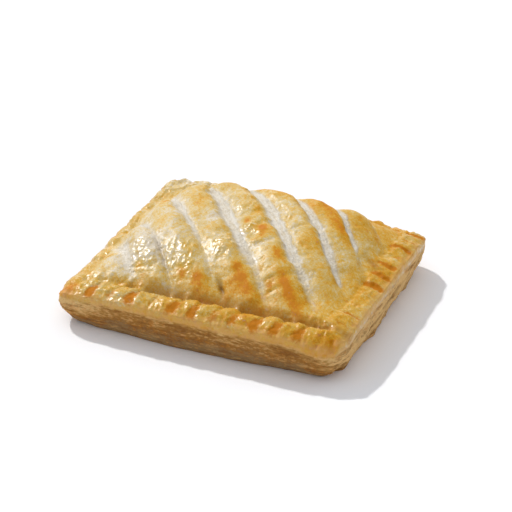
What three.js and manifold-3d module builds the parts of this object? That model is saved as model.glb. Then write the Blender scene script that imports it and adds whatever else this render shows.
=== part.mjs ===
// A baked puff-pastry parcel: a thick rolled and crimped rim, a lid swollen by its filling, and slanting slashes.
// Millimetres, +Z up, +X along the length, the front edge at -Y, the origin under the middle on the table.
import Module from 'manifold-3d';
import * as THREE from 'three';
import { mergeVertices } from 'three/addons/utils/BufferGeometryUtils.js';

const { clamp, lerp, smoothstep } = THREE.MathUtils;

// Overall size, with the lid a little higher towards the back
const LENGTH = 125;
const WIDTH = 108.4;
const LID_TOP = 35.4;
const LID_TILT = 1.2;

// Corners: radius in plan, how far each is drawn out, height of its rim, the curl of its underside, and how bare of
// the lid it is
const CORNERS = [
  { x: -1, y: -1, radius: 6.5, draw: 0.9, rim: 16.7, curl: 2, bare: 0 },
  { x: 1, y: -1, radius: 11.7, draw: 0, rim: 18.6, curl: 0.3, bare: 0.4 },
  { x: 1, y: 1, radius: 9.1, draw: 0.4, rim: 17.5, curl: 0, bare: 0 },
  { x: -1, y: 1, radius: 10, draw: -2.2, rim: 21.5, curl: 0, bare: 1 },
];
const DRAW_SPREAD = 5;
const CURL_SPREAD = 8;
const BARE_FROM = 0.54;
const BARE_TO = 0.7;

// Edges: tuck of the foot at the middle and how much more at the ends, bow of the side, rise of the rim at its
// middle, width of the rim's roll, its drop to the shoulder and how round it is, depth of its crimps and of the
// valley behind it, where the lid starts and how full it is on this side
const EDGES = [
  {
    x: 0, y: -1, tuck: 3, ends: 2, bow: 0.9, rise: 4, roll: 9, drop: 5.4, round: 2, crimp: 0.9,
    valley: 2.6, foot: 11, fullness: 2.8,
  },
  {
    x: 1, y: 0, tuck: 3.6, ends: 2.8, bow: 0.5, rise: 3.2, roll: 8.4, drop: 3.2, round: 1.4, crimp: 0.5,
    valley: 0.3, foot: 9, fullness: 3.4,
  },
  {
    x: 0, y: 1, tuck: 3.2, ends: 0.5, bow: -0.7, rise: -2, roll: 7, drop: 4.5, round: 2, crimp: 0.7,
    valley: 0.8, foot: 7.5, fullness: 4.3,
  },
  {
    x: -1, y: 0, tuck: 3, ends: 0.5, bow: -0.6, rise: 0.2, roll: 6, drop: 4.5, round: 2, crimp: 0.9,
    valley: 0.8, foot: 7, fullness: 5,
  },
];
const TUCK_SPREAD = 6;
const TUCK_POWER = 3;
const ENDS_SPREAD = 2;
const RISE_SPREAD = 3;
const RISE_FLATNESS = 4;
const ROLL_BLEND = 3;
const WALL_BULGE = 0.5;
const VALLEY_WIDTH = 2.4;

// Crimps: grooves pressed across the rim and into the top of the wall, one to every few surface steps
const STEPS_PER_CRIMP = 5;
const LENGTH_STEPS = 72;
const WIDTH_STEPS = 62;
const WALL_STEPS = 4;
const CRIMP_START = { x: 3, y: 5 };
const CRIMP_NOTCH = 0.6;
const NOTCH_FOOT = 0.6;
const CRIMP_LENGTH = 8.5;
const CRIMP_CORNER_GAP = 6;

// Slashes: where each crosses the long middle line, its half width, and its depth below the bands beside it.
// Each falls steeply from the band on its left and rises slowly to the band on its right.
const SLASH_SLANT = 0.85;
const SLASH_FALL = 0.7;
const SLASH_RISE = 1.4;
const SLASH_FADE = 0.5;
const SLASHES = [
  { at: -70, width: 2, depth: 1.4 },
  { at: -52.3, width: 1.8, depth: 1.3 },
  { at: -31.5, width: 2.3, depth: 1.6 },
  { at: -9.8, width: 3, depth: 1.9 },
  { at: 13.8, width: 3.4, depth: 2.1 },
  { at: 34.6, width: 3, depth: 1.9 },
  { at: 52.6, width: 2.5, depth: 1.6 },
  { at: 71.7, width: 2, depth: 1.3 },
];

// Unevenness of the baked lid, crimps and foot, as waves of these lengths over the plan
const WAVE_X = 41;
const WAVE_Y = 33;
const LID_WAVE = 0.4;
const CRIMP_WAVE = 0.35;
const FOOT_WAVE = 0.12;

// The underside reaches below the table before a block of table cuts the foot flat
const SINK = 1;
const TABLE_DEPTH = 10;

const CRUST_COLOUR = 0xcfa54f;
const CRUST_ROUGHNESS = 0.45;

// How much one corner counts at a point of the unit square, where u and v run from -1 to 1.
function cornerShare(corner, u, v) {
  return (1 + corner.x * u) * (1 + corner.y * v) / 4;
}

// A corner value blended over the unit square.
function cornerBlend(u, v, key) {
  return CORNERS.reduce((sum, corner) => sum + corner[key] * cornerShare(corner, u, v), 0);
}

// How far a point lies towards one edge, from -1 at the far edge to 1 on it.
function towards(edge, u, v) {
  return edge.x * u + edge.y * v;
}

// How far a point lies along one edge, from -1 to 1.
function along(edge, u, v) {
  return edge.x === 0 ? u : v;
}

// Half the distance from one edge to the edge across from it.
function halfAcross(edge) {
  return edge.x === 0 ? WIDTH / 2 : LENGTH / 2;
}

// Distance inwards from one edge.
function edgeDistance(edge, u, v) {
  return halfAcross(edge) * (1 - towards(edge, u, v));
}

// Distance inwards from the nearest edge.
function rimDistance(u, v) {
  return Math.min(...EDGES.map((edge) => edgeDistance(edge, u, v)));
}

// A slow wave over the plan, from -1 to 1.
function wave(x, y) {
  return Math.sin(2 * Math.PI * x / WAVE_X + 1) * Math.sin(2 * Math.PI * y / WAVE_Y + 2);
}

// Plan place on a rounded rectangle with bowed sides and drawn-out corners.
function planPoint(u, v) {
  const radius = cornerBlend(u, v, 'radius');
  const flatX = LENGTH / 2 - radius;
  const flatY = WIDTH / 2 - radius;
  const x = Math.abs(u) * LENGTH / 2;
  const y = Math.abs(v) * WIDTH / 2;
  const overX = Math.max(x - flatX, 0);
  const overY = Math.max(y - flatY, 0);
  const reach = Math.hypot(overX, overY);
  const pull = reach > 0 ? Math.max(overX, overY) / reach : 1;
  const point = new THREE.Vector2(
    Math.sign(u) * (Math.min(x, flatX) + overX * pull),
    Math.sign(v) * (Math.min(y, flatY) + overY * pull),
  );
  for (const edge of EDGES) {
    const bow = edge.bow * (1 + towards(edge, u, v)) / 2 * (1 - along(edge, u, v) ** 2);
    point.x += edge.x * bow;
    point.y += edge.y * bow;
  }
  for (const corner of CORNERS) {
    const draw = corner.draw * cornerShare(corner, u, v) ** DRAW_SPREAD;
    point.x += corner.x * draw;
    point.y += corner.y * draw;
  }
  return point;
}

// Height of the rim's crest, which rises between the corners, carried on under the lid.
function rimHeight(u, v) {
  return EDGES.reduce((height, edge) => {
    const near = Math.max(towards(edge, u, v), 0) ** RISE_SPREAD;
    return height + edge.rise * near * (1 - Math.abs(along(edge, u, v)) ** RISE_FLATNESS);
  }, cornerBlend(u, v, 'rim'));
}

// How far the lid has fallen from its top towards one edge: 0 over the filling, 1 on the rim.
function lidFall(edge, u, v) {
  const half = halfAcross(edge);
  const span = half * Math.max(towards(edge, u, v), 0) / (half - edge.foot);
  return clamp(span, 0, 1) ** edge.fullness;
}

// How bare of the lid a point is for being near one corner.
function bareShare(corner, u, v) {
  return corner.bare * smoothstep(cornerShare(corner, u, v), BARE_FROM, BARE_TO);
}

// Share of the lid's rise: 0 on the rim, 1 over the filling.
function lidShare(u, v) {
  const covered = CORNERS.reduce((share, corner) => share * (1 - bareShare(corner, u, v)), 1);
  return EDGES.reduce((share, edge) => share * (1 - lidFall(edge, u, v)), covered);
}

// How deep in a crimp a place along one edge is: 1 in the groove, 0 on the ridge and at the corners.
function crimpShare(edge, u, v) {
  const place = along(edge, u, v);
  const steps = edge.x === 0 ? LENGTH_STEPS : WIDTH_STEPS;
  const start = edge.x === 0 ? CRIMP_START.x : CRIMP_START.y;
  const half = edge.x === 0 ? LENGTH / 2 : WIDTH / 2;
  const turn = ((place + 1) / 2 * steps - start) / STEPS_PER_CRIMP;
  const groove = ((1 + Math.cos(2 * Math.PI * turn)) / 2) ** 2;
  const uneven = 1 + CRIMP_WAVE * wave(u * LENGTH / 2, v * WIDTH / 2);
  return groove * uneven * smoothstep(half * (1 - Math.abs(place)), CRIMP_CORNER_GAP / 2, CRIMP_CORNER_GAP);
}

// Height lost from the crest of the rim down its roll, the two rolls at a corner flowing into one.
function rollLoss(u, v) {
  const losses = EDGES.map((edge) => {
    const outwards = clamp(1 - edgeDistance(edge, u, v) / edge.roll, 0, 1);
    return (edge.drop * outwards ** edge.round) ** ROLL_BLEND;
  });
  return losses.reduce((sum, loss) => sum + loss, 0) ** (1 / ROLL_BLEND);
}

// Height lost to the crimps and to the valley between the rim and the lid.
function rimLoss(u, v) {
  return EDGES.reduce((sum, edge) => {
    const inwards = edgeDistance(edge, u, v);
    const pressed = 1 - smoothstep(inwards, CRIMP_LENGTH / 2, CRIMP_LENGTH);
    const crimp = edge.crimp * crimpShare(edge, u, v) * pressed;
    const valley = edge.valley * Math.exp(-(((inwards - edge.foot) / VALLEY_WIDTH) ** 2));
    return sum + crimp + valley * smoothstep(rimDistance(u, v), edge.foot / 2, edge.foot);
  }, rollLoss(u, v));
}

// Depth of the slashes below the puffed bands.
function slashDepth(x, y) {
  const slope = Math.hypot(1, SLASH_SLANT);
  return SLASHES.reduce((depth, slash) => {
    const off = (x - slash.at + SLASH_SLANT * y) / slope;
    const reach = slash.width * (off < 0 ? SLASH_FALL : SLASH_RISE);
    return depth + slash.depth * Math.exp(-((off / reach) ** 2));
  }, 0);
}

// Height of the baked top.
function lidHeight(u, v) {
  const { x, y } = planPoint(u, v);
  const share = lidShare(u, v);
  const cut = slashDepth(x, y) * smoothstep(share, 0, SLASH_FADE);
  const top = LID_TOP + LID_TILT * v + LID_WAVE * wave(x, y);
  return lerp(rimHeight(u, v), top, share) - rimLoss(u, v) - cut;
}

// Height of the underside, which curls up at the corners.
function footHeight(u, v) {
  return CORNERS.reduce((height, corner) => {
    const lift = corner.curl > 0 ? corner.curl + SINK : 0;
    return height + lift * cornerShare(corner, u, v) ** CURL_SPREAD;
  }, -SINK);
}

// A point of the parcel: u and v across it, up from 0 on the underside to 1 on the top.
function parcelPoint(u, v, up) {
  const plan = planPoint(u, v);
  for (const edge of EDGES) {
    const near = Math.max(towards(edge, u, v), 0) ** TUCK_SPREAD;
    const reach = edge.tuck + edge.ends * along(edge, u, v) ** ENDS_SPREAD;
    const tuck = reach * (1 + FOOT_WAVE * wave(plan.x, plan.y)) * (1 - up) ** TUCK_POWER;
    const bulge = WALL_BULGE * 4 * up * (1 - up);
    const notch = CRIMP_NOTCH * edge.crimp * crimpShare(edge, u, v) * smoothstep(up, NOTCH_FOOT, 1);
    plan.x -= edge.x * near * (tuck + notch - bulge);
    plan.y -= edge.y * near * (tuck + notch - bulge);
  }
  return new THREE.Vector3(plan.x, plan.y, lerp(footHeight(u, v), lidHeight(u, v), up));
}

// A finely stepped box, its diagonals along the slashes, with every point moved to its place.
function parcelGeometry() {
  const geometry = new THREE.BoxGeometry(2, 2, 1, WIDTH_STEPS, LENGTH_STEPS, WALL_STEPS);
  geometry.rotateZ(Math.PI / 2);
  const position = geometry.getAttribute('position');
  for (let i = 0; i < position.count; i += 1) {
    const point = parcelPoint(position.getX(i), position.getY(i), position.getZ(i) + 0.5);
    position.setXYZ(i, point.x, point.y, point.z);
  }
  return geometry;
}

// The closed solid of a geometry whose shared vertices are merged.
function solidOf(wasm, geometry) {
  geometry.deleteAttribute('normal');
  geometry.deleteAttribute('uv');
  const merged = mergeVertices(geometry);
  const mesh = new wasm.Mesh({
    numProp: 3,
    vertProperties: Float32Array.from(merged.getAttribute('position').array),
    triVerts: Uint32Array.from(merged.getIndex().array),
  });
  return new wasm.Manifold(mesh);
}

// The geometry of a solid.
function geometryOf(solid) {
  const { vertProperties, triVerts } = solid.getMesh();
  const geometry = new THREE.BufferGeometry();
  geometry.setAttribute('position', new THREE.BufferAttribute(vertProperties, 3));
  geometry.setIndex(new THREE.BufferAttribute(triVerts, 1));
  geometry.computeVertexNormals();
  return geometry;
}

// The block of table that cuts the foot flat.
function tableGeometry() {
  return new THREE.BoxGeometry(2 * LENGTH, 2 * WIDTH, TABLE_DEPTH).translate(0, 0, -TABLE_DEPTH / 2);
}

// The finished parcel, standing on its flat foot with the middle of its box over the origin.
function buildParcel(wasm) {
  const solid = solidOf(wasm, parcelGeometry()).subtract(solidOf(wasm, tableGeometry()));
  const geometry = geometryOf(solid);
  geometry.computeBoundingBox();
  const middle = geometry.boundingBox.getCenter(new THREE.Vector3());
  const crust = new THREE.MeshStandardMaterial({
    color: CRUST_COLOUR,
    roughness: CRUST_ROUGHNESS,
    metalness: 0,
  });
  const parcel = new THREE.Mesh(geometry.translate(-middle.x, -middle.y, 0), crust);
  parcel.name = 'pastry_parcel';
  return parcel;
}

const wasm = await Module();
wasm.setup();

const bake = new THREE.Group();
bake.add(buildParcel(wasm));

export default bake;
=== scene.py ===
"""A baked puff-pastry parcel: glazed lid, raw slashes, caramel crimps and flaky walls."""
import logging
import math
from dataclasses import dataclass
from enum import Enum
from itertools import pairwise, product
from typing import Any, Mapping

import bpy
import numpy as np
from mathutils import Matrix, Vector


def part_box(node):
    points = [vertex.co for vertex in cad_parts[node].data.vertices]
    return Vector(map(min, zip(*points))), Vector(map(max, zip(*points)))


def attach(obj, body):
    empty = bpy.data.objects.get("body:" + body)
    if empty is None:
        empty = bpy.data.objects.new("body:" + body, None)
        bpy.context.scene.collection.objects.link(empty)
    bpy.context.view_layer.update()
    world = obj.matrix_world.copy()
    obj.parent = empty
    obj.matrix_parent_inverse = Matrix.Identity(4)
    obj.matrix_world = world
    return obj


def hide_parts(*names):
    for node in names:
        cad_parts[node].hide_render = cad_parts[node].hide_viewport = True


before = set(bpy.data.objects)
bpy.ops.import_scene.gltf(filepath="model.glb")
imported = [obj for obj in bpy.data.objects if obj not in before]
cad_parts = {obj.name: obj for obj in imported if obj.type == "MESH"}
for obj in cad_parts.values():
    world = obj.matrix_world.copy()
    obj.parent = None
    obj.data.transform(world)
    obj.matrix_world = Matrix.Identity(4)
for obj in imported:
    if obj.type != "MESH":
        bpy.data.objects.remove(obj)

Field = np.ndarray
# Low and high end
Range = tuple[float, float]
# Middle and width of a bell
Bump = tuple[float, float]
Triple = tuple[float, float, float]
Colour = tuple[float, float, float, float]

LOG = logging.getLogger("pastry")
MM = 0.001
NODE = "pastry_parcel"
PICTURE_WIDTH = 512
# How far a slash goes to the left for each step to the back
SLANT = 0.85
# A range below every share, which all points are past
ALWAYS: Range = (-3.0, -2.0)


class Axis(Enum):
    """The way that points are pushed."""

    X = "X"
    Y = "Y"
    Z = "Z"
    NORMAL = "NORMAL"


class Side(Enum):
    """An edge of the parcel, by the way that it faces in plan."""

    FRONT = (0, -1)
    RIGHT = (1, 0)
    BACK = (0, 1)
    LEFT = (-1, 0)


class Mark(Enum):
    """What the surface remembers about its own making, and where shade and sheen are painted, for the
    finish to read.
    """

    RAW = "raw"
    STAIN = "stain"
    STRAND = "strand"
    WALL = "wall"
    LEVEL = "level"
    BAKE = "bake"
    CRINKLE = "crinkle"
    # Painted shade in the gaps between leaves and in the cracks.
    GAP = "gap"
    # Tan colour and painted shade in the valley behind the front rim.
    TROUGH = "trough"
    SHOULDER = "shoulder"


class NoiseKind(Enum):
    """Clouds about one half, or sharp crests."""

    CLOUDY = "FBM"
    RIDGED = "RIDGED_MULTIFRACTAL"


def ease(value: Field, low: float, high: float) -> Field:
    """Rise smoothly from 0 at low to 1 at high."""
    share = np.clip((value - low) / (high - low), 0, 1)
    return share * share * (3 - 2 * share)


def bell(value: Field, middle: float, width: float) -> Field:
    """A round bump of height 1 about a middle."""
    return np.exp(-(((value - middle) / width) ** 2))


def in_space(x: Field, y: Field | float = 0.0, z: Field | float = 0.0) -> Field:
    """One row of x, y and z for each point."""
    return np.stack(np.broadcast_arrays(x, y, z), axis=1)


def shade(*parts: int) -> Colour:
    """Turn the red, green and blue of a screen colour, 0 to 255, into linear light."""
    share = np.array(parts) / 255
    return (*np.where(share <= 0.04045, share / 12.92, ((share + 0.055) / 1.055) ** 2.4).tolist(), 1.0)


class Grain:
    """Seeded smooth unevenness through space, between random values on a lattice."""

    CELLS = 32

    def __init__(self, seed: int) -> None:
        """Draw the lattice."""
        self.lattice = np.random.default_rng(seed).uniform(-1, 1, (self.CELLS,) * 3)

    def smooth(self, points: Field, spacing: Triple | float) -> Field:
        """Read the unevenness at some points.

        Args:
            points: One row of x, y and z for each point, in millimetres.
            spacing: Size of a lattice cell, in millimetres.

        Returns:
            A number from -1 to 1 for each point.
        """
        cell = points / np.asarray(spacing)
        low = np.floor(cell).astype(int)
        share = cell - low
        share = share**3 * (share * (share * 6 - 15) + 10)
        total = np.zeros(len(points))
        for corner in product((0, 1), repeat=3):
            weight = np.prod(np.where(corner, share, 1 - share), axis=1)
            place = (low + corner) % self.CELLS
            total += weight * self.lattice[place[:, 0], place[:, 1], place[:, 2]]
        return total

    def ridges(self, points: Field, spacing: Triple | float) -> Field:
        """Sharp crests where the unevenness changes sign, from -1 to 1."""
        return 1 - 2 * np.abs(self.smooth(points, spacing)) ** 0.5

    def pillows(self, points: Field, spacing: Triple | float) -> Field:
        """Round swellings with sharp creases between them, from -0.5 to 1."""
        return 1.5 * np.abs(self.smooth(points, spacing)) ** 0.8 - 0.5


@dataclass(frozen=True)
class Corner:
    """One corner of the parcel, in millimetres; bare and proud are shares, toe_spread is a power."""

    x: int
    y: int
    radius: float
    draw: float
    rim: float
    curl: float = 0.0
    toe: float = 0.0
    toe_spread: float = 8.0
    bare: float = 0.0
    proud: float = 0.0


@dataclass(frozen=True)
class Crimps:
    """How one edge is crimped, in millimetres: dents, leaning lines above them and lobes between.

    The lean is a slope and the stain a share.
    """

    first: float
    depth: float
    width: float
    dent_at: float
    dent_length: float
    lobe: float
    notch: float
    stain: float
    line: float = 0.0
    lean: float = 0.0
    pitch: float = 8.7


@dataclass(frozen=True)
class Flare:
    """A stretch of the foot that stands out, or in below 0, in millimetres along the edge."""

    middle: float
    reach: float
    out: float


@dataclass(frozen=True)
class Edge:
    """One edge with its rim, in millimetres.

    Its fillet, ragged, leaved and wall_bake are shares, and its roundness and fullness are powers.
    """

    side: Side
    tuck: float
    bow: float
    rise: float
    roll: float
    valley: float
    foot: float
    fullness: float
    fillet: float
    wall_bake: float
    crimps: Crimps
    tuck_ends: float = 0.5
    tuck_lean: float = 0.0
    drop: float = 4.8
    roundness: float = 2.3
    ragged: float = 0.2
    leaved: float = 0.6
    flares: tuple[Flare, ...] = ()


@dataclass(frozen=True)
class Slash:
    """One slash: where it crosses the long middle line, half widths, bend and soft side, in millimetres.

    It stays closed up to a share of the lid's rise.
    """

    at: float
    back: float
    front: float
    soft: float
    bend: float = 0.0
    closed: float = 0.0


@dataclass(frozen=True)
class Patch:
    """A long spot that lies along the slashes, in millimetres of plan."""

    x: float
    y: float
    along: float
    across: float
    amount: float


def patches(*rows: tuple[float, ...]) -> tuple[Patch, ...]:
    """Lay out spots, each a row of its x, y, along, across and amount."""
    return tuple(Patch(*row) for row in rows)


@dataclass(frozen=True)
class Zone:
    """Where the crust bakes more or less, by shares towards a side in x and y and up from the foot."""

    amount: float
    x: int
    x_range: Range
    y: int = 1
    y_range: Range = ALWAYS
    level: Range = ALWAYS

    def at(self, u: Field, v: Field, up: Field) -> Field:
        """How much more each point bakes."""
        plan = ease(self.x * u, *self.x_range) * ease(self.y * v, *self.y_range)
        return self.amount * plan * ease(up, *self.level)


CORNERS = (
    Corner(x=-1, y=-1, radius=6.5, draw=0.9, rim=16.7, curl=2.0, toe=-0.3, proud=0.5),
    Corner(x=1, y=-1, radius=11.7, draw=0.0, rim=18.6, curl=0.3, toe=4.4, toe_spread=16.0, bare=0.4),
    Corner(x=1, y=1, radius=9.1, draw=-0.3, rim=17.5, toe=-4.5),
    Corner(x=-1, y=1, radius=10.0, draw=-3.0, rim=22.2, bare=1.0),
)

EDGES = (
    Edge(
        side=Side.FRONT, tuck=2.5, tuck_ends=3.8, tuck_lean=0.9, bow=0.9, rise=4.2, roll=9.0, drop=5.4,
        roundness=2.1, valley=3.2, foot=11.0, fullness=2.8, fillet=0.02, ragged=0.12, leaved=0.3,
        wall_bake=0.85,
        crimps=Crimps(
            first=6.9, depth=0.25, width=3.7, dent_at=2.6, dent_length=5.0, line=0.6, lean=0.43,
            lobe=0.25, notch=0.1, stain=1.0, pitch=9.03,
        ),
        flares=(Flare(46.0, 8.0, -0.6), Flare(-25.0, 10.0, -0.4)),
    ),
    Edge(
        side=Side.RIGHT, tuck=3.5, tuck_ends=3.5, tuck_lean=-0.8, bow=0.5, rise=3.2, roll=8.4, drop=3.2,
        roundness=1.4, valley=0.0, foot=8.4, fullness=3.4, fillet=0.12, ragged=0.3, leaved=1.0,
        wall_bake=-0.5,
        crimps=Crimps(
            first=3.4, depth=0.14, width=2.4, dent_at=4.4, dent_length=7.6,
            lobe=0.15, notch=0.1, stain=1.15, pitch=8.4,
        ),
        flares=(Flare(-42.0, 6.0, 2.6), Flare(-12.0, 4.5, 2.0), Flare(31.0, 5.0, 2.4)),
    ),
    Edge(
        side=Side.BACK, tuck=3.2, bow=-0.7, rise=-2.2, roll=7.0, valley=0.4, foot=7.5, fullness=4.3,
        fillet=0.08, wall_bake=0.35,
        crimps=Crimps(
            first=2.0, depth=0.8, width=2.8, dent_at=1.2, dent_length=5.0, line=0.5, lean=0.2,
            lobe=0.4, notch=0.4, stain=0.8,
        ),
    ),
    Edge(
        side=Side.LEFT, tuck=3.0, bow=-1.1, rise=-0.3, roll=6.0, valley=0.2, foot=7.0, fullness=5.0,
        fillet=0.1, wall_bake=0.25,
        crimps=Crimps(
            first=6.1, depth=0.6, width=2.4, dent_at=1.6, dent_length=4.6, line=0.3, lobe=0.3,
            notch=0.8, stain=0.25, pitch=11.0,
        ),
    ),
)

SLASHES = (
    Slash(at=-69.0, back=0.7, front=0.4, soft=0.9),
    Slash(at=-51.5, back=0.45, front=0.12, soft=0.5),
    Slash(at=-30.5, back=0.65, front=-0.1, soft=1.1),
    Slash(at=-9.2, back=1.3, front=0.5, bend=1.8, soft=1.7),
    Slash(at=14.6, back=1.6, front=0.4, bend=1.7, soft=1.8),
    Slash(at=35.6, back=1.1, front=0.45, bend=0.8, soft=1.7, closed=0.15),
    Slash(at=53.6, back=0.7, front=0.25, bend=0.8, soft=1.9, closed=0.32),
    Slash(at=72.5, back=0.25, front=0.2, soft=0.7),
)

# Spots that baked darker, or paler where the amount is below 0; the pale spot at 13, -13.5 is a painted
# highlight on the lit edge of a crease
BROWNING = patches(
    (31, -32, 5, 2, 0.48), (37, -38, 6, 2.4, 0.3), (24, -33, 2.4, 1.6, 0.34),
    (21, -18, 4, 2.2, 0.36), (26, -27, 5, 2.6, 0.22), (0, -0.5, 2.4, 1.5, 0.46),
    (8.3, -4, 3.4, 2, 0.56), (10, -9, 2.6, 2.6, 0.24), (0, 9, 3, 2, 0.26),
    (35.5, 15, 7, 3, 0.34), (31, 21, 6, 4, 0.2), (20, 20, 8, 3, 0.22),
    (24, 27, 5, 2.4, 0.26), (2, 32, 6, 4, 0.24), (-27, 8, 8, 4, 0.26),
    (7.5, -29, 2.6, 1.8, 0.42), (11.6, -33, 2.8, 2, 0.42), (15.5, -37, 3.4, 2, 0.4),
    (9, -36, 6, 4.5, 0.2), (22, -38, 4, 3.5, 0.2), (-7, -36, 2.6, 2, 0.4),
    (-5, -38, 5, 4, 0.2), (-14, -36, 2.6, 2.4, 0.26), (-30, -38, 5, 3, 0.1),
    (29, -8, 5, 3, 0.16), (-42, 8, 1.5, 1.5, 0.35), (-34, -36, 2, 2, 0.28),
    (-50.5, -30, 1.5, 2.5, 0.24), (-33.5, -12, 4, 4, 0.2), (-14, -4, 4, 4, -0.22),
    (13, -13.5, 1.6, 4.5, -0.15),
)

# Dimples and creases of the lid, or swellings where the amount is above 0
DIMPLES = patches(
    (-28, -19, 1.8, 1.5, -0.8), (-14, -4, 3, 5, -0.6), (-3, -19, 5, 3.6, 0.7),
    (3, -4, 2.2, 1.6, 0.9), (5.5, -1, 1.6, 1.4, -0.7), (0.5, -4.5, 1.4, 1.2, -0.5),
    (12, -13.5, 1.1, 5, -0.8), (15, -19, 0.7, 2.6, -0.2), (22.8, -30, 0.7, 2.6, -0.5),
    (24.8, -35.5, 0.7, 2.6, -0.5), (21, 3.6, 0.9, 5, -0.5), (4.5, -38.5, 4, 1, -2.2),
    (53, 8, 5, 1.8, -1.5), (-28, -27.5, 12, 0.6, -0.9), (-2.5, 29, 9, 4.5, 1.1),
    (18.5, 29, 9, 4.5, 0.9), (35, 30, 9, 6, 2), (-27, 33, 7, 5, 0.5),
)

# Lumps and hollows of the rim
LUMPS = patches(
    (38, 48, 5, 6, 1.2), (51, 50, 5, 5, -1.2), (-39, 48, 7, 7, 1.3),
    (-58, 30, 8, 9, -0.9),
)

# Cracks of the lid, painted dark as the shade inside them
CRACKS = patches(
    (4.5, -38.5, 3.4, 0.9, 1.5), (53, 8.5, 4, 1.7, 1.1), (-28, -27.5, 10, 0.5, 0.35),
)

# Glossy crinkled skin
CRINKLES = patches(
    (-33, -29, 9, 6.5, 1.2), (-17, -29, 9, 6, 1.2), (-3, -20, 7, 6, 1.2),
    (4, -4, 6, 6, 1.3), (-4, 11, 6, 5, 0.8), (-48, -24, 8, 6, 0.7),
    (52, -47, 5, 5, 0.8), (-40, -45, 6, 6, 0.8), (-8, 24, 7, 4, 0.6),
    (14, 20, 7, 4, 0.5),
)

# Corners and ends that baked darker or paler
LID_ZONES = (
    Zone(0.16, x=-1, x_range=(0.82, 0.98), y=-1, y_range=(0.8, 0.95)),
    Zone(0.3, x=-1, x_range=(0.8, 0.92), y=-1, y_range=(0.85, 0.97)),
    Zone(0.18, x=1, x_range=(0.8, 0.95), y=-1, y_range=(0.85, 0.97)),
    Zone(-0.05, x=1, x_range=(0.82, 0.9)),
    Zone(-0.12, x=1, x_range=(0.75, 0.95), y_range=(0.2, 0.7)),
)

WALL_ZONES = (
    Zone(-0.3, x=1, x_range=(0.8, 0.95), y_range=(0.0, 0.6)),
    # Painted light: the front-left corner of the wall is paler where its rounded face turns towards the
    # light.
    Zone(-0.6, x=-1, x_range=(0.45, 0.95), y=-1, y_range=(0.8, 0.95), level=(0.1, 0.6)),
)


class DoughSheet:
    """A fine box of dough on the unit square, shaped by pushing its points."""

    FOOT_RINGS = (0.97, 0.92, 0.8, 0.6)
    UPRIGHT = 0.5

    def __init__(self, name: str, cells: tuple[int, int], rows: int) -> None:
        """Roll the sheet out and fold its walls down.

        Args:
            name: Name of the piece.
            cells: Faces along its length and across its width.
            rows: Faces up its walls.
        """
        bpy.ops.object.select_all(action="DESELECT")
        bpy.ops.mesh.primitive_grid_add(x_subdivisions=cells[0], y_subdivisions=cells[1], size=2)
        self.piece = bpy.context.active_object
        self.piece.name = name
        self.piece.data.name = name
        self._fold_walls()
        self._part_walls(rows)
        self.unit = self.places()

    def _fold_walls(self) -> None:
        """Pull the sheet's border down to a wall and close it underneath."""
        bpy.ops.object.mode_set(mode="EDIT")
        bpy.ops.mesh.select_mode(type="EDGE")
        bpy.ops.mesh.select_all(action="SELECT")
        bpy.ops.transform.translate(value=(0, 0, 1))
        bpy.ops.mesh.select_all(action="DESELECT")
        bpy.ops.mesh.select_non_manifold()
        bpy.ops.mesh.extrude_region_move(TRANSFORM_OT_translate={"value": (0, 0, -1)})
        for ring in self.FOOT_RINGS:
            bpy.ops.mesh.extrude_region_move()
            bpy.ops.transform.resize(value=(ring, ring, 1))
        bpy.ops.mesh.edge_face_add()
        bpy.ops.mesh.select_all(action="DESELECT")
        bpy.ops.object.mode_set(mode="OBJECT")

    def _part_walls(self, rows: int) -> None:
        """Part the upright edges into rows and turn every face outwards.

        Args:
            rows: Faces up the walls.
        """
        mesh = self.piece.data
        ends = np.zeros(len(mesh.edges) * 2, int)
        mesh.edges.foreach_get("vertices", ends)
        heights = self.places()[:, 2][ends.reshape(-1, 2)]
        upright = np.abs(heights[:, 0] - heights[:, 1]) > self.UPRIGHT
        mesh.edges.foreach_set("select", upright)
        bpy.ops.object.mode_set(mode="EDIT")
        bpy.ops.mesh.subdivide(number_cuts=rows - 1)
        bpy.ops.mesh.select_all(action="SELECT")
        bpy.ops.mesh.normals_make_consistent(inside=False)
        bpy.ops.object.mode_set(mode="OBJECT")

    def places(self) -> Field:
        """Read where every point is.

        Returns:
            One row of x, y and z for each point.
        """
        flat = np.zeros(len(self.piece.data.vertices) * 3)
        self.piece.data.vertices.foreach_get("co", flat)
        return flat.reshape(-1, 3)

    def push(self, axis: Axis, amounts: Field) -> None:
        """Push every point along an axis.

        Args:
            axis: The way to push.
            amounts: How far each point goes, in millimetres.
        """
        for sign in (1, -1):
            part = np.clip(sign * amounts, 0, None)
            reach = float(part.max())
            if reach > 0:
                self._displace(axis, part / reach, sign * reach)

    def _displace(self, axis: Axis, weights: Field, strength: float) -> None:
        """Weigh the points into a group and apply one Displace modifier to it.

        Args:
            axis: The way to push.
            weights: Weight of each point, 0 to 1.
            strength: How far a point of full weight goes, in millimetres.
        """
        group = self.piece.vertex_groups.new(name="push")
        for index, weight in enumerate(weights.tolist()):
            group.add((index,), weight, "REPLACE")
        modifier = self.piece.modifiers.new("push", "DISPLACE")
        modifier.direction = axis.value
        modifier.mid_level = 0
        modifier.strength = strength * MM
        modifier.vertex_group = group.name
        bpy.ops.object.modifier_apply(modifier=modifier.name)
        self.piece.vertex_groups.clear()

    def mark(self, mark: Mark, values: Field) -> None:
        """Write a value for every point that the finish can read."""
        layer = self.piece.data.attributes.new(mark.value, "FLOAT", "POINT")
        layer.data.foreach_set("value", values.astype(np.float32))


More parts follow.
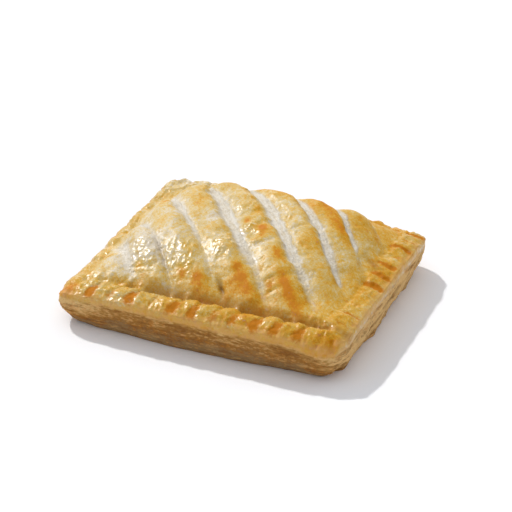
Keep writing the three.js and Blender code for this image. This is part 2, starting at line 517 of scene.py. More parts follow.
@dataclass
class PastryParcel:
    """The whole parcel, in millimetres: driving sizes, then the fine relief that baking leaves."""

    length: float = 125.0
    width: float = 108.4
    lid_top: float = 35.4
    lid_tilt: float = 1.4
    cells: tuple[int, int] = (244, 210)
    rows: int = 38
    edge_power: int = 6
    wall_bulge: float = 0.5
    valley_width: float = 2.4
    valley_least: float = 0.35
    valley_range: Range = (-48.0, -22.0)
    bare_reach: Range = (0.46, 0.74)
    rim_sag: float = 0.5
    lid_wobble: float = 1.1
    leaves: int = 6
    leaf_gap: float = 0.55
    leaf_step: float = 0.5
    slash_drop: float = 1.7
    slash_lip: float = 1.6
    slash_least: float = 0.1
    slash_opening: float = 0.22
    slash_front: float = 40.0
    slash_swing: Bump = (13.0, 10.0)
    slash_narrows: Range = (8.0, 35.0)
    raw_fades: Range = (0.0, 32.0)
    wide_slash: Range = (0.3, 0.8)
    outer_border: float = 90.0
    band_arch: float = 1.2
    band_skew: float = 1.6
    lobe: float = 0.7
    lobe_size: float = 16.0
    dent_ends: Range = (-1.6, 1.2)
    dent_sides: Range = (-1.4, 0.9)
    stain_ends: Range = (-1.6, 2.0)
    stain_sides: Range = (-1.6, 1.2)
    press: Range = (0.6, 1.15)
    blister: float = 0.25
    crinkle: float = 0.3
    fibre: float = 0.12
    strand: float = 0.35
    pleat: float = 0.35
    pleat_x: Range = (15.0, 35.0)
    pleat_y: Bump = (-38.0, 4.0)
    flake: float = 0.15
    wall_top: Range = (0.7, 0.98)
    shoulder: Range = (0.3, 2.8)
    shoulder_foot: Range = (0.55, 0.8)
    # Where the tan colour and painted shade of the front valley lie: middle and width inwards from the
    # front, then its start in x.
    trough: Bump = (11.5, 2.4)
    valley_tan_and_shade_x: Range = (-45.0, -10.0)
    back_bake: Bump = (30.0, 9.0)

    def build(self) -> bpy.types.Object:
        """Shape the parcel.

        Returns:
            The finished piece, in metres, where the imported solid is.
        """
        self.sheet = DoughSheet("pastry_crust", self.cells, self.rows)
        self.u, self.v, self.up = self.sheet.unit.T
        self.x, self.y = self._plan()
        self.flat = in_space(self.x, self.y)
        self._shape_body()
        self._shape_relief()
        self._shape_skin()
        self._settle()
        self._mark_bake()
        bpy.ops.object.shade_smooth()
        return self.sheet.piece

    def dress(self) -> None:
        """Give the parcel its crust and its place in the frame."""
        parcel = self.sheet.piece
        parcel.data.materials.clear()
        parcel.data.materials.append(CrustFinish().make())
        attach(parcel, "root")
        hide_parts(NODE)

    def _share(self, corner: Corner) -> Field:
        """How much one corner counts at each point."""
        return (1 + corner.x * self.u) * (1 + corner.y * self.v) / 4

    def _blend(self, name: str) -> Field:
        """A value of the corners, blended over the parcel."""
        return sum(getattr(corner, name) * self._share(corner) for corner in CORNERS)

    def _towards(self, side: Side) -> Field:
        """How far each point lies towards one edge, from -1 to 1."""
        return side.value[0] * self.u + side.value[1] * self.v

    def _near(self, side: Side, power: int) -> Field:
        """How much one edge counts at each point, from 1 on the edge to 0 at the middle."""
        return np.maximum(self._towards(side), 0) ** power

    def _along(self, side: Side) -> Field:
        """How far each point lies along one edge, from -1 to 1."""
        return self.v if side.value[0] else self.u

    def _half_across(self, side: Side) -> float:
        """Half the distance from one edge to the edge across from it."""
        return self.length / 2 if side.value[0] else self.width / 2

    def _half_along(self, side: Side) -> float:
        """Half the length of one edge."""
        return self.width / 2 if side.value[0] else self.length / 2

    def _inwards(self, side: Side) -> Field:
        """Distance inwards from one edge."""
        return self._half_across(side) * (1 - self._towards(side))

    def _rim_distance(self) -> Field:
        """Distance inwards from the nearest edge."""
        return np.min([self._inwards(edge.side) for edge in EDGES], axis=0)

    def _risen(self, full: float) -> Field:
        """0 on the rim, rising to 1 where the lid has a share of its full rise."""
        return ease(self.share, 0.0, full)

    def _plan(self) -> Field:
        """Round the corners, bow the sides and draw the corners out.

        Returns:
            A row of x and a row of y, before the foot is tucked in.
        """
        unit = np.array((self.u, self.v))
        halves = np.array(((self.length / 2,), (self.width / 2,)))
        reach = np.abs(unit) * halves
        flat = halves - self._blend("radius")
        over = np.maximum(reach - flat, 0)
        far = np.hypot(*over)
        pull = np.where(far > 0, over.max(axis=0) / np.maximum(far, 1e-9), 1)
        plan = np.sign(unit) * (np.minimum(reach, flat) + over * pull)
        for edge in EDGES:
            bow = edge.bow * (1 + self._towards(edge.side)) / 2 * (1 - self._along(edge.side) ** 2)
            plan = plan + np.outer(edge.side.value, bow)
        for corner in CORNERS:
            plan = plan + np.outer((corner.x, corner.y), corner.draw * self._share(corner) ** 5)
        return plan

    def _rim_height(self) -> Field:
        """Height of the rim's crest, carried on under the lid."""
        rises = [edge.rise * self._near(edge.side, 3) * (1 - self._along(edge.side) ** 4) for edge in EDGES]
        return self._blend("rim") + sum(rises)

    def _lid_share(self) -> Field:
        """Swell the lid between the feet of its slopes.

        Returns:
            Share of the lid's rise at each point: 0 on the rim, 1 over the filling.
        """
        share = np.ones_like(self.u)
        wobble = self.lid_wobble * Grain(13).smooth(self.flat, 9.0)
        for edge in EDGES:
            half = self._half_across(edge.side)
            reach = half * np.maximum(self._towards(edge.side), 0)
            span = np.maximum(reach + wobble * ease(reach, half / 2, half), 0) / (half - edge.foot)
            rise = 1 - np.clip(span, 0, 1) ** edge.fullness
            share = share * rise**2 * (1 + edge.fillet) / (rise + edge.fillet)
        for corner in CORNERS:
            near = (corner.x * self.u + corner.y * self.v) / 2
            share = share * (1 - corner.bare * ease(near, *self.bare_reach))
        return share

    def _rim_loss(self) -> Field:
        """Roll the rim over outwards and sink the valley behind it.

        Returns:
            Height lost at each point.
        """
        rolled = np.zeros_like(self.u)
        valley = np.zeros_like(self.u)
        near = self._rim_distance()
        uneven = Grain(11).smooth(self.flat, 7.0) + 0.7 * Grain(12).smooth(self.flat, 3.6)
        sag = self.rim_sag * uneven * (1 - self._risen(0.15))
        opened = self.valley_least + (1 - self.valley_least) * ease(self.x, *self.valley_range)
        deep = (1 + 0.5 * uneven) * opened
        proud = sum(corner.proud * self._share(corner) ** 4 for corner in CORNERS)
        for edge in EDGES:
            inwards = self._inwards(edge.side)
            outwards = np.clip(1 - inwards / edge.roll, 0, 1)
            rolled = rolled + (edge.drop * (1 - proud) * outwards**edge.roundness) ** 3
            dip = edge.valley * bell(inwards, edge.foot, self.valley_width) * deep
            valley = valley + dip * ease(near, edge.foot / 2, edge.foot)
        return np.cbrt(rolled) + valley + sag

    def _foot_height(self) -> Field:
        """Height of the underside, which curls up at the corners."""
        shares = [np.clip(1.5 * self._share(corner) ** 8 - 0.5, 0, 1) for corner in CORNERS]
        return sum(corner.curl * share for corner, share in zip(CORNERS, shares))

    def _wall_move(self, edge: Edge, uneven: Field) -> Field:
        """Tuck the foot of one wall in, bulge the wall and notch its crimps.

        Args:
            edge: The edge above the wall.
            uneven: Unevenness of the foot at each point.

        Returns:
            How far each point of the wall moves inwards.
        """
        along = self._along(edge.side)
        place = along * self._half_along(edge.side)
        tuck = edge.tuck + edge.tuck_ends * along**2 + edge.tuck_lean * along
        tuck = tuck - sum(flare.out * bell(place, flare.middle, flare.reach) for flare in edge.flares)
        move = tuck * (1 + edge.ragged * uneven) * (1 - self.up) ** 3
        move = move - self.wall_bulge * 4 * self.up * (1 - self.up)
        off, strength = self._crimp(edge)
        notch = edge.crimps.notch * strength * bell(off, 0, edge.crimps.width)
        return move + notch * ease(self.up, 0.3, 1.0)

    def _shape_body(self) -> None:
        """Give the sheet the parcel's plan, its tucked walls, its rim and its swollen lid."""
        plan = np.array((self.x, self.y))
        uneven = Grain(14).smooth(self.flat, 9.0) + 0.6 * Grain(15).smooth(self.flat, 3.5)
        for edge in EDGES:
            move = self._near(edge.side, self.edge_power) * self._wall_move(edge, uneven)
            plan = plan - np.outer(edge.side.value, move)
        for corner in CORNERS:
            toe = corner.toe * self._share(corner) ** corner.toe_spread * (1 - self.up) ** 1.5
            plan = plan + np.outer((corner.x, corner.y), toe)
        self.share = self._lid_share()
        rim = self._rim_height()
        top = self.lid_top + self.lid_tilt * self.v
        lid = rim + (top - rim) * self.share - self._rim_loss()
        foot = self._foot_height()
        self.sheet.push(Axis.X, plan[0] - self.u / MM)
        self.sheet.push(Axis.Y, plan[1] - self.v / MM)
        self.sheet.push(Axis.Z, foot + (lid - foot) * self.up - self.up / MM)

    @staticmethod
    def _turn(x: Any, y: Any) -> tuple[Any, Any]:
        """Turn x and y in plan to the distances across the slashes and along them to the front."""
        slope = math.hypot(1, SLANT)
        return (x + SLANT * y) / slope, (SLANT * x - y) / slope

    def _spots(self, spots: tuple[Patch, ...]) -> Field:
        """Lay some long spots along the slashes.

        Args:
            spots: The spots.

        Returns:
            Their sum at each point.
        """
        across, along = self._turn(self.x, self.y)
        total = np.zeros_like(across)
        for spot in spots:
            middle, end = self._turn(spot.x, spot.y)
            shape = bell(across, middle, spot.across) * bell(along, end, spot.along)
            total = total + spot.amount * shape
        return total

    def _slashes(self) -> tuple[Field, Field, Field, Field, Field, Field]:
        """Lay the slashes over the lid.

        Returns:
            How raw each point is, how deep in a slash, how far its band swells, how much it is drawn into
            strands, and how near it is to the toasted lip and to the glossy flank of a slash.
        """
        slope = math.hypot(1, SLANT)
        across, along = self._turn(self.x, self.y)
        line = in_space(along)
        opening = self._risen(self.slash_opening)
        front = np.clip(-self.y / self.slash_front, 0, 1)
        swing = bell(self.y, *self.slash_swing)
        raw, depth, swell, strand, lips, flanks = (np.zeros_like(across) for _ in range(6))
        borders = [(-self.outer_border, -self.outer_border)]
        for number, slash in enumerate(SLASHES):
            grain = Grain(40 + number)
            middle = (slash.at + slash.bend * swing) / slope + 0.5 * grain.smooth(line, 15.0)
            half = slash.back + (slash.front - slash.back) * front
            ragged = 0.35 * grain.smooth(line, 5.0) + 0.25 * grain.smooth(line + 50, 1.8)
            opened = ease(self.share, slash.closed, slash.closed + self.slash_opening)
            half = np.maximum(half, self.slash_least) * opened * (1 + ragged)
            half = half * (1 - 0.6 * ease(self.y, *self.slash_narrows))
            borders.append((middle - half, middle + half))
            wide = ease(half, *self.wide_slash)
            off = across - middle
            lip = self.slash_lip * (1 + 0.5 * grain.smooth(line + 35, 6.0))
            soft = slash.soft * opening * (1 + 0.5 * grain.smooth(line + 70, 4.0)) + 0.2
            shown = ease(off + half, -lip, 0.6) * (1 - ease(off - half, -0.4, soft))
            raw = np.maximum(raw, shown * ease(half, 0.05, 0.3))
            fall = off + 0.7 * half
            reach = np.where(fall < 0, 0.5 * half + lip, 1.9 * half + soft)
            cut = np.exp(-((np.abs(fall) / reach) ** 1.8)) * (0.3 + 0.7 * ease(half, 0.1, 1.2))
            depth = np.maximum(depth, cut)
            lips = np.maximum(lips, bell(off, -half - lip - 1.4, 1.7) * wide)
            flanks = np.maximum(flanks, bell(off, half + soft + 1.6, 2.2) * wide)
            strand = np.maximum(strand, bell(off, half + 0.7, 0.5) * wide)
        borders.append((self.outer_border, self.outer_border))
        for number, ((_, left), (right, _)) in enumerate(pairwise(borders)):
            place = np.clip((across - left) / np.maximum(right - left, 1), 0, 1) ** self.band_skew
            lobe = self.lobe * Grain(20 + number).pillows(line, self.lobe_size)
            swell = swell + 4 * place * (1 - place) * (self.band_arch + lobe)
        raw = raw * opening * (1 - 0.65 * ease(-self.y, *self.raw_fades))
        return raw, depth, swell, strand * opening, lips * opening, flanks * opening

    def _crimp(self, edge: Edge) -> tuple[Field, Field]:
        """Find the crimp of one edge that is nearest to each point.

        Args:
            edge: The crimped edge.

        Returns:
            How far along the edge each point is from its crimp, and how hard that crimp was pressed.
        """
        crimps = edge.crimps
        half = self._half_along(edge.side)
        place = self._along(edge.side) * half
        inwards = self._inwards(edge.side)
        grain = Grain(60 + EDGES.index(edge))
        spot = in_space(place, inwards)
        wander = 0.6 * grain.smooth(spot * (1, 0, 0), 9.0) + 0.5 * grain.smooth(spot + 20, 4.0)
        lean = crimps.lean * np.clip(inwards - crimps.dent_at, 0, edge.roll)
        turn = (place + wander - lean - crimps.first) / crimps.pitch
        number = np.round(turn)
        drawn = grain.smooth(in_space(number) + 9, 1.0)
        strength = np.clip(0.85 + 0.5 * drawn, *self.press)
        clear = half * (1 - np.abs(self._along(edge.side)))
        return (turn - number) * crimps.pitch, strength * ease(clear, 0.0, 4.0)

    def _pressed(self, edge: Edge) -> tuple[Field, Field]:
        """Press the crimps of one edge.

        Args:
            edge: The crimped edge.

        Returns:
            How far each point rises or sinks, and how stained it is.
        """
        crimps = edge.crimps
        inwards = self._inwards(edge.side)
        off, strength = self._crimp(edge)
        size = 0.5 + 0.6 * strength
        past_end = np.abs(inwards - crimps.dent_at) - crimps.dent_length / 2 * size
        past_side = np.abs(off) - crimps.width / 2 * size
        dent = strength * (1 - ease(past_end, *self.dent_ends)) * (1 - ease(past_side, *self.dent_sides))
        tint = (1 - ease(past_end, *self.stain_ends)) * (1 - ease(past_side, *self.stain_sides))
        tint = tint * (0.5 + 0.5 * ease(inwards, 0.2, 2.0))
        rim = 1 - ease(inwards, edge.roll, edge.roll + 3)
        line = strength * rim * bell(off, 0, 0.7) * (1 - dent)
        lobe = rim * (0.6 - bell(off, 0, 2.2)) * ease(inwards, 0.5, 4.0)
        near = ease(self._near(edge.side, self.edge_power), 0.15, 0.35) * ease(self.up, 0.92, 1.0)
        rise = crimps.lobe * lobe * strength - crimps.depth * dent - crimps.line * line
        tint = np.maximum(strength**2 * tint, 0.45 * line * (crimps.line > 0))
        return rise * near, crimps.stain * tint * near

    def _shape_relief(self) -> None:
        """Puff the bands, sink the slashes and dimples and press the crimps."""
        self.raw, self.cut, swell, self.strands, self.lips, self.flanks = self._slashes()
        on_top = ease(self.up, 0.97, 1.0)
        fade = self._risen(0.3) * on_top
        relief = fade * (swell - self.slash_drop * self.cut - self.band_arch + self._spots(DIMPLES))
        relief = relief + on_top * self._spots(LUMPS)
        self.stain = np.zeros_like(self.u)
        for edge in EDGES:
            rise, stain = self._pressed(edge)
            relief = relief + rise
            self.stain = np.maximum(self.stain, stain)
        self.sheet.push(Axis.NORMAL, relief)

    def _by_edge(self, name: str) -> Field:
        """A value of the edges, each counting near its own edge."""
        near = np.array([self._near(edge.side, 2 * self.edge_power) for edge in EDGES])
        return [getattr(edge, name) for edge in EDGES] @ near / np.maximum(near.sum(axis=0), 0.01)

    def _leaves(self, places: Field) -> tuple[Field, Field]:
        """Part the walls into the leaves of the pastry.

        Args:
            places: Where every point is, in millimetres.

        Returns:
            How deep in a gap between two leaves each point is, and how far its leaf stands out.
        """
        turn = self.up * self.leaves + 0.8 * Grain(16).smooth(places, (18.0, 18.0, 6.0))
        broken = ease(Grain(17).smooth(places, (9.0, 9.0, 2.4)), -0.3, 0.4)
        gap = bell(np.mod(turn, 1), 0.5, 0.15) * broken
        leaf = in_space(self.x, self.y, 7.3 * np.floor(turn + 0.5))
        return gap, Grain(18).smooth(leaf, (13.0, 13.0, 1.0))

    def _shape_skin(self) -> None:
        """Raise the blisters, crinkles, strands and pleats of the lid and the leaves of the walls."""
        places = self.sheet.places() / MM
        across, along = self._turn(self.x, self.y)
        lie = in_space(across, along)
        self.wall = 1 - ease(self.up, *self.wall_top)
        rim = 1 - self._risen(0.1)
        crust = (1 - self.wall) * (1 - self.raw)
        self.crinkled = np.clip(0.2 + self._spots(CRINKLES) + 0.7 * rim + 0.4 * self.flanks, 0, 1)
        blister = Grain(1).smooth(places, 5.0) + 0.5 * Grain(6).smooth(places, 2.6)
        crinkle = Grain(2).ridges(places, (2.0, 2.4, 2.0)) + 0.6 * Grain(8).ridges(places, (3.4, 3.0, 3.0))
        skin = crust * (self.blister * blister + self.crinkle * self.crinkled * crinkle)
        self.strands = np.clip(self.strands * (0.5 + Grain(7).ridges(lie, (1.6, 7.0, 1.0))), 0, 1)
        fibre = Grain(3).ridges(lie, (2.2, 1.2, 1.0)) + Grain(10).smooth(lie, (1.0, 4.0, 1.0))
        skin = skin + self.raw * self.fibre * fibre + self.strand * self.strands
        pleated = (1 - self.wall) * ease(-self.x, *self.pleat_x) * bell(self.y, *self.pleat_y)
        skin = skin + pleated * self.pleat * Grain(9).ridges(places, (11.0, 2.0, 11.0))
        gap, step = self._leaves(places)
        leaved = self._by_edge("leaved")
        # The gaps between leaves and the cracks are remembered for painted shade.
        self.gap = np.maximum(gap * leaved * self.wall, self._spots(CRACKS) * ease(self.up, 0.9, 1.0))
        leaves = leaved * (self.leaf_step * step - self.leaf_gap * gap)
        leaves = leaves + self.flake * Grain(5).ridges(places, 2.2)
        skin = skin + self.wall * leaves * ease(self.up, 0.0, 0.05)
        self.sheet.push(Axis.NORMAL, skin)

    def _settle(self) -> None:
        """Bring the parcel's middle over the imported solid's, with its foot on the table."""
        low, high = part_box(NODE)
        places = self.sheet.places()
        middle = (places.min(axis=0) + places.max(axis=0)) / 2
        home = (low + high) / 2
        for axis, index in ((Axis.X, 0), (Axis.Y, 1)):
            self.sheet.push(axis, np.full_like(self.u, (home[index] - middle[index]) / MM))
        self.sheet.push(Axis.Z, np.clip(-places[:, 2], 0, None) / MM)

    def _mark_bake(self) -> None:
        """Remember the raw slashes, grooves, wall heights and browning for the finish, with the painted
        shade of the valley and of the leaf gaps and cracks.
        """
        lid = 0.14 + 0.13 * ease(self.x, -40, 0) + 0.03 * ease(self.x, 0, 30) + 1.2 * self._spots(BROWNING)
        lid = lid + 0.12 * bell(self.y, *self.back_bake) + 0.08 * (1 - ease(self.share, 0.05, 0.5))
        lid = lid - 0.25 * self.cut * self._risen(0.2)
        lid = lid + sum(zone.at(self.u, self.v, self.up) for zone in LID_ZONES)
        lid = lid - 0.24 * ease(self.v - self.u, 1.2, 1.7) + 0.1 * self.lips
        front = ease(-self.y, 18, 34) * self._risen(0.2)
        lid = lid + (0.13 * ease(self.x, -45, -20) - 0.09) * front
        rim = 1 - self._risen(0.12)
        wall = self._by_edge("wall_bake") + sum(zone.at(self.u, self.v, self.up) for zone in WALL_ZONES)
        # The valley behind the front rim gets a tan colour and painted shade, fading out to the left.
        trough = bell(self._inwards(Side.FRONT), *self.trough) * ease(self.x, *self.valley_tan_and_shade_x)
        shoulder = 1 - ease(self._rim_distance(), *self.shoulder)
        marks = {
            Mark.RAW: self.raw,
            Mark.STAIN: self.stain,
            Mark.STRAND: self.strands,
            Mark.CRINKLE: self.crinkled,
            Mark.GAP: self.gap,
            Mark.TROUGH: trough * (1 - self.wall),
            Mark.SHOULDER: shoulder * ease(self.up, *self.shoulder_foot),
            Mark.WALL: self.wall,
            Mark.LEVEL: self.up,
            Mark.BAKE: (lid + 0.12 * rim) * (1 - self.wall) + wall * self.wall,
        }
        for mark, values in marks.items():
            self.sheet.mark(mark, values)


@dataclass(frozen=True)
class Value:
    """A number that varies over a surface, with Python arithmetic that adds Math nodes."""

    board: "Board"
    socket: bpy.types.NodeSocket

    def _math(self, operation: str, first: Any, second: Any) -> "Value":
        """Add one Math node between two numbers or values."""
        return self.board.value("ShaderNodeMath", {"operation": operation}, {0: first, 1: second})

    def __add__(self, other: Any) -> "Value":
        """Sum."""
        return self._math("ADD", self, other)

    def __sub__(self, other: Any) -> "Value":
        """Difference."""
        return self._math("SUBTRACT", self, other)

    def __rsub__(self, other: Any) -> "Value":
        """Difference from a number."""
        return self._math("SUBTRACT", other, self)

    def __mul__(self, other: Any) -> "Value":
        """Product."""
        return self._math("MULTIPLY", self, other)

    def spread(self, amount: float) -> "Value":
        """Spread a noise about 0 instead of one half, by an amount."""
        return (self - 0.5) * amount

    def ease(self, low: float, high: float) -> "Value":
        """Rise smoothly from 0 at low to 1 at high."""
        sockets = {0: self, 1: low, 2: high, 3: 0.0, 4: 1.0}
        return self.board.value("ShaderNodeMapRange", {"interpolation_type": "SMOOTHSTEP"}, sockets)


class Board:
    """The nodes of one material."""

    def __init__(self, name: str) -> None:
        """Start a material with nothing but its output.

        Args:
            name: Name of the material.
        """
        self.material = bpy.data.materials.new(name)
        self.material.use_nodes = True
        self.tree = self.material.node_tree
        self.tree.nodes.clear()
        self.output = self.tree.nodes.new("ShaderNodeOutputMaterial")
        self.place = self.node("ShaderNodeTexCoord").outputs["Object"]

    def node(
        self,
        kind: str,
        settings: Mapping[str, Any] | None = None,
        sockets: Mapping[Any, Any] | None = None,
    ) -> bpy.types.Node:
        """Add a node.

        Args:
            kind: Type of the node.
            settings: Its settings, which are set first.
            sockets: Values or links of its sockets, by name or number.

        Returns:
            The node.
        """
        node = self.tree.nodes.new(kind)
        for name, setting in (settings or {}).items():
            setattr(node, name, setting)
        for key, value in (sockets or {}).items():
            socket = node.inputs[key]
            source = value.socket if isinstance(value, Value) else value
            if isinstance(source, bpy.types.NodeSocket):
                self.tree.links.new(source, socket)
            else:
                socket.default_value = source
        return node

    def value(self, kind: str, settings: Mapping[str, Any], sockets: Mapping[Any, Any]) -> Value:
        """Add a node and take its first output."""
        return Value(self, self.node(kind, settings, sockets).outputs[0])

    def mark(self, mark: Mark) -> Value:
        """Read what the surface remembers."""
        node = self.node("ShaderNodeAttribute", {"attribute_name": mark.value})
        return Value(self, node.outputs["Fac"])

    def noise(
        self,
        size: float,
        detail: float = 2.0,
        stretch: Triple = (1.0, 1.0, 1.0),
        turn: float = 0.0,
        kind: NoiseKind = NoiseKind.CLOUDY,
    ) -> Value:
        """Add cloudy or ridged noise.

        Args:
            size: Size of its clouds, in millimetres.
            detail: How many finer layers it has.
            stretch: How much longer its clouds are along x, y and z.
            turn: How far the clouds are turned about z, in radians.
            kind: Clouds or crests.

        Returns:
            The noise.
        """
        sockets = {"Vector": self.place, "Rotation": (0.0, 0.0, turn), "Scale": stretch}
        vector = self.node("ShaderNodeMapping", {"vector_type": "TEXTURE"}, sockets).outputs[0]
        sockets = {"Vector": vector, "Scale": 1 / (size * MM), "Detail": detail, "Roughness": 0.6}
        return self.value("ShaderNodeTexNoise", {"noise_type": kind.value}, sockets)

    def mix(self, share: Value, first: Any, second: Any) -> bpy.types.NodeSocket:
        """Blend two colours by a share of the second."""
        settings = {"data_type": "RGBA", "clamp_factor": True}
        return self.node("ShaderNodeMix", settings, {0: share, 6: first, 7: second}).outputs[2]

    def ramp(self, value: Value, stops: Mapping[float, Colour]) -> bpy.types.NodeSocket:
        """Turn a value into a colour along a row of stops.

        Args:
            value: What the colour goes by.
            stops: Colours by their places.

        Returns:
            The colour.
        """
        node = self.node("ShaderNodeValToRGB", sockets={0: value})
        elements = node.color_ramp.elements
        while len(elements) < len(stops):
            elements.new(1.0)
        for element, (place, colour) in zip(elements, stops.items()):
            element.position = place
            element.color = colour
        return node.outputs["Color"]

    def close(self, shader: bpy.types.Node) -> bpy.types.Material:
        """Link a shader to the output and give the material."""
        self.tree.links.new(shader.outputs[0], self.output.inputs[0])
        return self.material


@dataclass(frozen=True)
class CrustFinish:
    """Egg-glazed puff pastry: golden where it baked, raw cream in the slashes, drier down the walls."""

    # The palest stop is the palest crust and also the painted sheen of crinkled glaze.
    sheen_and_palest: Colour = shade(220, 211, 196)
    pale: Colour = shade(209, 194, 166)
    straw: Colour = shade(207, 178, 108)
    golden: Colour = shade(206, 158, 52)
    amber: Colour = shade(203, 139, 14)
    caramel: Colour = shade(197, 121, 0)
    stain: Colour = shade(188, 114, 0)
    shoulder: Colour = shade(210, 162, 98)
    cream: Colour = shade(222, 214, 199)
    fibre: Colour = shade(203, 189, 162)
    # Near white: the pale stretched dough with a painted highlight.
    strand: Colour = shade(242, 238, 228)
    # Tan colour with painted shade for the front valley.
    trough: Colour = shade(160, 112, 52)
    lie: float = math.atan(SLANT)
    wall_pale: Colour = shade(216, 178, 118)
    wall_tan: Colour = shade(178, 134, 74)
    wall_brown: Colour = shade(153, 105, 48)
    wall_foot: Colour = shade(149, 117, 76)
    # Dark brown painted as shade in the leaf gaps, the cracks and the wall's shadow streaks.
    gap_shade: Colour = shade(118, 70, 24)
    wall_toast: Colour = shade(184, 110, 34)
    roughness: float = 0.98
    glaze_polish: float = 0.38
    crinkle_polish: float = 0.35
    specular: float = 0.12
    relief: float = 0.3

    def make(self) -> bpy.types.Material:
        """Make the material.

        Returns:
            The finished crust.
        """
        board = Board("baked_crust")
        patch = board.noise(12.0)
        mottle = board.noise(3.6, 3.0)
        fine = board.noise(1.2, 3.0)
        blotch = mottle * 0.5 + fine * 0.5
        raw = (board.mark(Mark.RAW) + mottle.spread(0.8) + fine.spread(0.9)).ease(0.1, 0.9)
        wall = (board.mark(Mark.WALL) + mottle.spread(0.4)).ease(0.1, 0.9)
        speck = board.noise(0.6)
        spot = board.noise(2.2).ease(0.5, 0.64)
        # Painted sheen: the crinkled skin's colour is paled towards the palest stop, standing in for its
        # many glints.
        painted_sheen = board.mark(Mark.CRINKLE) * blotch.ease(0.44, 0.6)
        bake = board.mark(Mark.BAKE) + patch.spread(0.5) + mottle.spread(0.5)
        bake = bake + fine.spread(0.55) + speck.spread(0.4) + spot * 0.1 - painted_sheen * 0.06 + 0.15
        streak = board.noise(1.0, 3.0, stretch=(1.0, 5.0, 1.0), turn=self.lie)
        bake = bake + streak.spread(0.35)
        stops = {0.0: self.sheen_and_palest, 0.2: self.pale, 0.4: self.straw, 0.6: self.golden}
        stops |= {0.78: self.amber, 0.95: self.caramel}
        colour = board.ramp(bake, stops)
        shoulder = board.mark(Mark.SHOULDER) * blotch.ease(0.3, 0.62)
        stain = (board.mark(Mark.STAIN) + mottle.spread(1.3) + fine.spread(1.2)).ease(0.1, 1.0)
        colour = board.mix(shoulder * 0.8, colour, self.shoulder)
        colour = board.mix(stain, colour, self.stain)
        frayed = (streak * 0.5 + fine * 0.35 + speck * 0.15).ease(0.36, 0.58)
        floor = board.mix(frayed, self.fibre, self.cream)
        # Tan colour with painted shade in the valley behind the front rim.
        colour = board.mix(board.mark(Mark.TROUGH) * 0.5, colour, self.trough)
        colour = board.mix(raw, colour, floor)
        # Strands are painted near white: partly the pale stretched dough, partly a painted highlight on
        # their glossy crests.
        strand = board.mark(Mark.STRAND)
        colour = board.mix(strand * 0.8, colour, self.strand)
        colour = board.mix(wall, colour, self._wall(board, fine, mottle))
        # Painted shade in the gaps between leaves and in the cracks of the lid.
        colour = board.mix(board.mark(Mark.GAP) * 0.5, colour, self.gap_shade)
        dry = stain * 0.9 + (1 - stain) * bake.ease(0.55, 0.85) * 0.6
        glaze = (1 - raw * 0.6 + strand * 0.5) * (1 - wall) * (1 - dry)
        crinkled = board.mark(Mark.CRINKLE) * glaze
        crinkle = board.noise(2.0, 1.0, kind=NoiseKind.RIDGED) * crinkled
        height = board.noise(3.0, 1.0) * 0.5 + board.noise(1.4, 1.0) * 0.5 + crinkle * 0.9
        height = height + fine * (wall * 0.9 + raw * 1.3) + speck * (wall * 0.5 + raw * 0.6)
        height = height + streak * raw * 0.8
        sockets = {"Strength": 1.0, "Distance": self.relief * MM, "Height": height}
        bump = board.node("ShaderNodeBump", sockets=sockets)
        sockets = {
            "Base Color": colour,
            "Roughness": self.roughness - glaze * self.glaze_polish - crinkled * self.crinkle_polish,
            "Specular IOR Level": self.specular,
            "Normal": bump.outputs[0],
        }
        return board.close(board.node("ShaderNodeBsdfPrincipled", sockets=sockets))

    def _wall(self, board: Board, fine: Value, mottle: Value) -> bpy.types.NodeSocket:
        """Colour the flaky walls, pale under the rim and brown at the foot.

        Args:
            board: Nodes of the crust.
            fine: Its fine noise.
            mottle: Its coarser noise.

        Returns:
            The colour of the walls.
        """
        cloud = board.noise(5.0, 3.0, stretch=(2.4, 2.4, 0.8))
        grain = board.noise(1.0, 4.0, stretch=(2.0, 2.0, 0.8))
        layer = board.noise(1.8, 3.0, stretch=(4.0, 4.0, 0.8))
        height = board.mark(Mark.LEVEL) + cloud.spread(0.9) + grain.spread(1.1) + layer.spread(0.6) + 0.28
        height = height - board.mark(Mark.BAKE) * 0.6
        stops = {0.0: self.wall_foot, 0.3: self.wall_brown, 0.58: self.wall_tan, 0.86: self.wall_pale}
        colour = board.ramp(height, stops)
        toast = (cloud * 0.3 + grain * 0.7 + fine.spread(0.4) + mottle.spread(0.2)).ease(0.5, 0.64)
        colour = board.mix(toast * 0.5, colour, self.wall_toast)
        flake = (layer * 0.5 + grain * 0.5).ease(0.52, 0.6)
        colour = board.mix(flake * 0.35, colour, self.wall_pale)
        shadow = (layer * 0.7 + fine * 0.3).ease(0.38, 0.5)
        return board.mix((1 - shadow) * 0.5, colour, self.gap_shade)


@dataclass(frozen=True)
class TableFinish:
    """Plain white paper."""

    white: Colour = (0.95, 0.95, 0.95, 1.0)

    def make(self) -> bpy.types.Material:
        """Make the material."""
        board = Board("white_paper")
        return board.close(board.node("ShaderNodeBsdfDiffuse", sockets={"Color": self.white}))


@dataclass(frozen=True)
class Lamp:
    """A far light: the way to it, its strength, how wide it looks in degrees, and if it only glares."""

    name: str
    way: Triple
    strength: float
    angle: float
    glares: bool


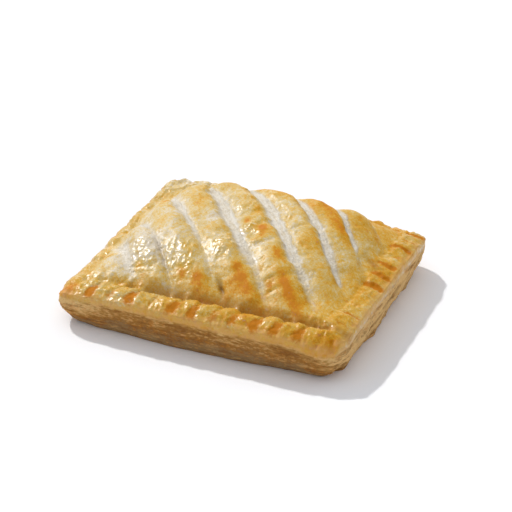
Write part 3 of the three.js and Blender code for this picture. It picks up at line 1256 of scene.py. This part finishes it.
@dataclass
class Studio:
    """The table, the light and the camera, with angles in degrees and lengths in metres."""

    azimuth: float = 23.6
    elevation: float = 29.65
    distance: float = 0.95
    pixels_per_metre: float = 2360.0
    aim_right: float = -0.00337
    aim_up: float = -0.01555
    clip_start: float = 0.01
    table_size: float = 6.0
    lamps: tuple[Lamp, ...] = (
        Lamp("key_light", (-0.60, 0.37, 0.71), 2.0, 3.0, glares=False),
        Lamp("glare_panel", (-0.73, 0.12, 0.67), 10.0, 16.0, glares=True),
        Lamp("back_panel", (-0.45, 0.8, 0.3), 0.7, 40.0, glares=True),
    )
    sky: float = 0.685
    sky_tint: Colour = (0.955, 0.975, 1.03, 1.0)

    def build(self) -> None:
        """Set the studio up."""
        self._lay_table()
        for lamp in self.lamps:
            self._hang(lamp)
        self._fill_room()
        self._place_camera()
        bpy.context.scene.view_settings.view_transform = "Standard"

    def _lay_table(self) -> None:
        """Lay the white table that the parcel stands on."""
        bpy.ops.object.select_all(action="DESELECT")
        bpy.ops.mesh.primitive_plane_add(size=self.table_size)
        table = bpy.context.active_object
        table.name = "table"
        table.data.materials.append(TableFinish().make())

    @staticmethod
    def _hang(lamp: Lamp) -> None:
        """Hang a far light that either lights or glares.

        Args:
            lamp: The light.
        """
        bpy.ops.object.light_add(type="SUN")
        light = bpy.context.active_object
        light.name = lamp.name
        light.data.energy = lamp.strength
        light.data.angle = math.radians(lamp.angle)
        light.rotation_euler = Vector(lamp.way).to_track_quat("Z", "Y").to_euler()
        light.visible_glossy = lamp.glares
        light.visible_diffuse = not lamp.glares

    def _fill_room(self) -> None:
        """Fill the room with soft light."""
        world = bpy.data.worlds.new("soft_room")
        world.use_nodes = True
        background = world.node_tree.nodes["Background"]
        background.inputs["Color"].default_value = self.sky_tint
        background.inputs["Strength"].default_value = self.sky
        bpy.context.scene.world = world

    def _place_camera(self) -> None:
        """Place the camera at the photograph's angle."""
        turn, lift = math.radians(self.azimuth), math.radians(self.elevation)
        level = math.cos(lift)
        back = Vector((math.sin(turn) * level, -math.cos(turn) * level, math.sin(lift)))
        right = Vector((math.cos(turn), math.sin(turn), 0))
        up = back.cross(right)
        place = back * self.distance - right * self.aim_right - up * self.aim_up
        bpy.ops.object.camera_add()
        camera = bpy.context.active_object
        camera.name = "camera"
        camera.matrix_world = Matrix.Translation(place) @ Matrix((right, up, back)).transposed().to_4x4()
        lens = camera.data.sensor_width * self.pixels_per_metre * self.distance / PICTURE_WIDTH
        camera.data.lens = lens
        camera.data.clip_start = self.clip_start
        bpy.context.scene.camera = camera


def main() -> None:
    """Build and dress the parcel, report it and set up its studio."""
    logging.basicConfig(level=logging.INFO)
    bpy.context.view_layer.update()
    parcel = PastryParcel()
    mesh = parcel.build().data
    parcel.dress()
    LOG.info("%s: %d points, %d faces", mesh.name, len(mesh.vertices), len(mesh.polygons))
    Studio().build()


if __name__ == "__main__":
    main()
